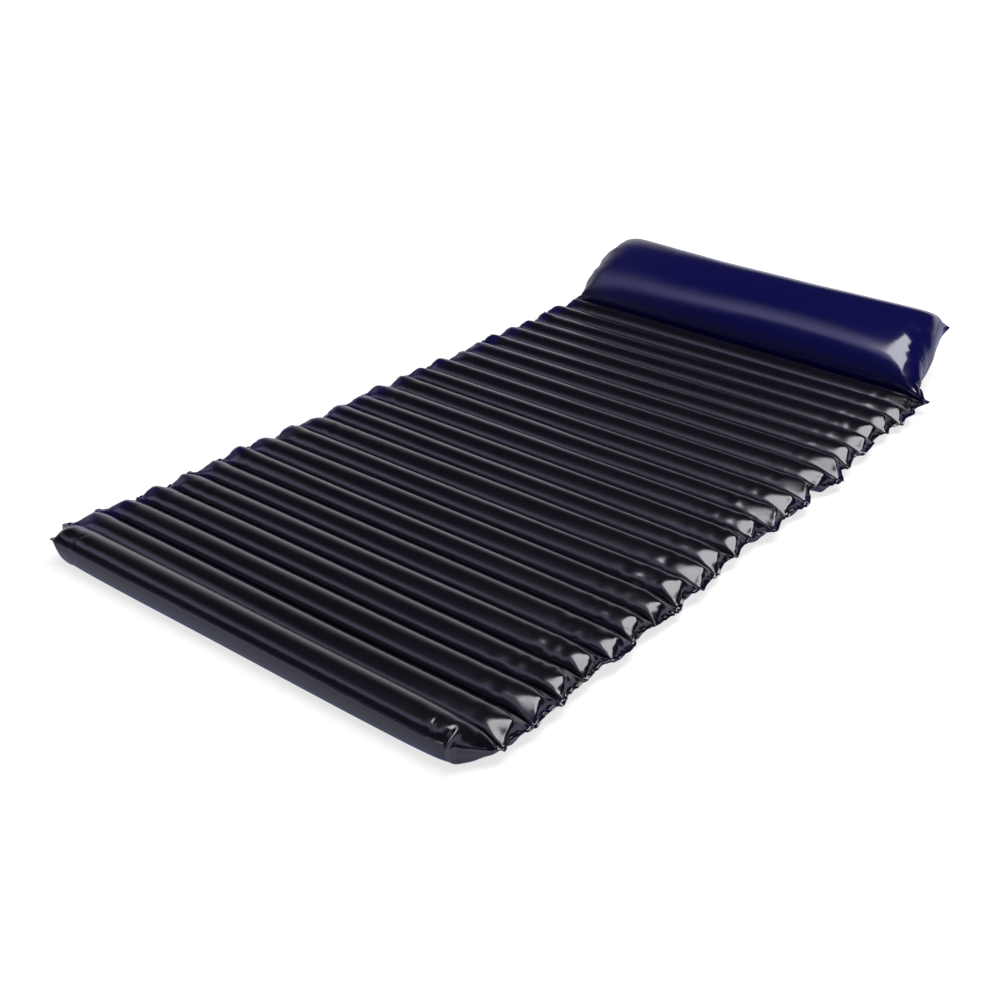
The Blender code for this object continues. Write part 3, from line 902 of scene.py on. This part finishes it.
def film_piece(name, films, matrix, material, settle=as_made, calm=0, valve=None):
    """A closed body from the two skins, stood at its weld."""
    bm, tags, _, rims = films.both_skins()
    seat = valve_seat(valve) if valve else None
    films.place(bm, tags, films.blown)
    for vert in bm.verts:
        vert.co.z += -SKIN if vert[tags[2]] else SKIN
    middle = [vert for vert in bm.verts if abs(vert.co.x) < CALM_TO]
    for _ in range(calm):
        bmesh.ops.smooth_vert(
            bm, verts=middle, factor=0.5, use_axis_x=True, use_axis_y=True, use_axis_z=True
        )
    bmesh.ops.bridge_loops(bm, edges=rims)
    bmesh.ops.transform(bm, matrix=matrix, verts=bm.verts)
    for vert in bm.verts:
        vert.co = uneven(settle(vert.co))
        if valve and vert[tags[2]]:
            vert.co = seated(vert.co, seat)
    bmesh.ops.recalc_face_normals(bm, faces=bm.faces)
    mesh = bpy.data.meshes.new(name)
    bm.to_mesh(mesh)
    bm.free()
    for layer in ("row", "column", "skin"):
        mesh.attributes.remove(mesh.attributes[layer])
    mesh.materials.append(material)
    mesh.shade_smooth()
    piece = bpy.data.objects.new(name, mesh)
    bpy.context.scene.collection.objects.link(piece)
    smoother = piece.modifiers.new("smooth", "SUBSURF")
    smoother.levels = smoother.render_levels = 1
    return piece


def on_weld(number, towards_foot=False, tilt=0.0):
    """A frame on a weld, with its own Y to the pillow, or to the foot, and turned up by the tilt."""
    turn = math.pi if towards_foot else 0.0
    return (
        Matrix.Translation(WELDS[number])
        @ Matrix.Rotation(turn, 4, "Z")
        @ Matrix.Rotation(tilt, 4, "X")
    )


for number, films in tubes_of_film.items():
    with_facets(films, number)
    piece = film_piece(f"tube_{number:02d}_film", films, on_weld(number - 1), tube_film)
    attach(piece, f"tube_{number:02d}")
    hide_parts(f"air_tube_{number:02d}")
with_room(foot_films, FOOT_ROOM)
with_room(pillow_films, PILLOW_ROOM)
foot = film_piece(
    "foot_tube_film", foot_films, on_weld(1, True, FOOT_TILT), tube_film, settle=with_ear, valve="mat"
)
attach(foot, "tube_01")
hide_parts("air_tube_01")
pillow = film_piece(
    "pillow_film_body",
    pillow_films,
    on_weld(24, False, PILLOW_TILT),
    pillow_film,
    settle=settled,
    calm=CALM_PILLOW,
    valve="pillow",
)
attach(pillow, "pillow_section")
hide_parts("pillow")
print("pockets", len(tubes_of_film) + 2, "faces in one tube", len(piece.data.polygons))

# %% [markdown]
# ## The weld lines
#
# Between two pockets the films are melted into one narrow band, and the mat folds there. The band can't
# belong to one side, or a fold would tear it off the other. So each band is its own thin piece. The
# pillow starts a little off its weld and hangs at a tilt, so its band is wider there and leans with it.

# %% Lay the weld bands
BAND_HALF = 0.0021
BAND_THICKNESS = 0.0010
BAND_REACH = 2 * (HALF_SPAN + END_FLANGE * 0.9)
BAND_STEPS = 120
PILLOW_BAND = 0.0050


def body_after(number):
    return "pillow_section" if number == 24 else f"tube_{number + 1:02d}"


for number, place in WELDS.items():
    bm = bmesh.new()
    bmesh.ops.create_cube(bm, size=1.0)
    bmesh.ops.scale(bm, vec=(BAND_REACH, 2 * BAND_HALF, BAND_THICKNESS), verts=bm.verts)
    lengthwise = [edge for edge in bm.edges if abs(edge.verts[0].co.x - edge.verts[1].co.x) > 0.1]
    bmesh.ops.subdivide_edges(bm, edges=lengthwise, cuts=BAND_STEPS, use_grid_fill=True)
    crosswise = [edge for edge in bm.edges if abs(edge.verts[0].co.y - edge.verts[1].co.y) > 0.001]
    bmesh.ops.subdivide_edges(bm, edges=crosswise, cuts=2, use_grid_fill=True)
    if number == 24:
        for vert in bm.verts:
            if vert.co.y > 0:
                vert.co.y *= PILLOW_BAND / BAND_HALF
                vert.co.z += vert.co.y * math.tan(PILLOW_TILT)
    bmesh.ops.translate(bm, vec=place, verts=bm.verts)
    for vert in bm.verts:
        vert.co = uneven(vert.co)
    mesh = bpy.data.meshes.new(f"weld_band_{number:02d}")
    bm.to_mesh(mesh)
    bm.free()
    mesh.materials.append(tube_film)
    mesh.shade_smooth()
    band = bpy.data.objects.new(f"weld_band_{number:02d}", mesh)
    bpy.context.scene.collection.objects.link(band)
    x, y, z = place
    start, end = (x, y - BAND_HALF, z), (x, y + BAND_HALF, z)
    body_after(number)
    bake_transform(band)
print("weld bands", len(WELDS))

# %% [markdown]
# ## The valves
#
# Two small push-in valves of soft vinyl sit where the photograph doesn't show them, one under the foot
# and one low on the pillow's back. Their moulded shapes are right as they are, so they only get a finish:
# satin blue-black vinyl with a fine cast grain, and a milky clear disc inside.

# %% Finish the valves
DUST, VINYL_GRAIN = 320.0, 2600.0


def vinyl_material(name, dark, light, rough, coat):
    """Moulded soft vinyl with a fine grain and a little dust in its colour."""
    material = bpy.data.materials.new(name)
    recipe = Recipe(material)
    place = recipe.node("TexCoord", output="Object")
    dust = recipe.noise(place, DUST, 3.0)
    grain = recipe.noise(place, VINYL_GRAIN, 2.0)
    colour = recipe.colours(dust, dark, light)
    bump = recipe.node("Bump", {}, {"Strength": 0.25, "Distance": 0.0002, "Height": grain + dust * 0.5})
    shader = recipe.node(
        "BsdfPrincipled",
        {},
        {"Base Color": colour, "Roughness": rough + grain * 0.12, "Normal": bump, "Coat Weight": coat},
    )
    surface = recipe.tree.nodes.new("ShaderNodeOutputMaterial")
    recipe.tree.links.new(shader.socket, surface.inputs["Surface"])
    return material


VINYL_DARK, VINYL_LIGHT = (0.014, 0.014, 0.050, 1.0), (0.022, 0.022, 0.066, 1.0)
MILKY_DARK, MILKY_LIGHT = (0.50, 0.51, 0.55, 1.0), (0.60, 0.61, 0.65, 1.0)
valve_vinyl = vinyl_material("valve_vinyl_satin", VINYL_DARK, VINYL_LIGHT, rough=0.34, coat=0.1)
flap_vinyl = vinyl_material("flap_vinyl_milky", MILKY_DARK, MILKY_LIGHT, rough=0.24, coat=0.2)
for name, node in frame["nodes"].items():
    if "valve" in name:
        node.material_slots[0].material = flap_vinyl if name.endswith("flap") else valve_vinyl
print("valve parts", sum("valve" in name for name in frame["nodes"]))

# %% [markdown]
# ## The size
#
# The dressed mat has to stay within the solids' box, give or take the little that film may stand proud.
# The sizes of the solids' box and of the dressed mat's box are printed one after the other.

# %% Print the two boxes and finish
sizes = {"cad": [list(corner) for corner in CAD_BOX], "visual": [list(corner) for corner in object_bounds()]}
for name, (low, high) in sizes.items():
    print(name, [round((b - a) * 1000, 1) for a, b in zip(low, high)])
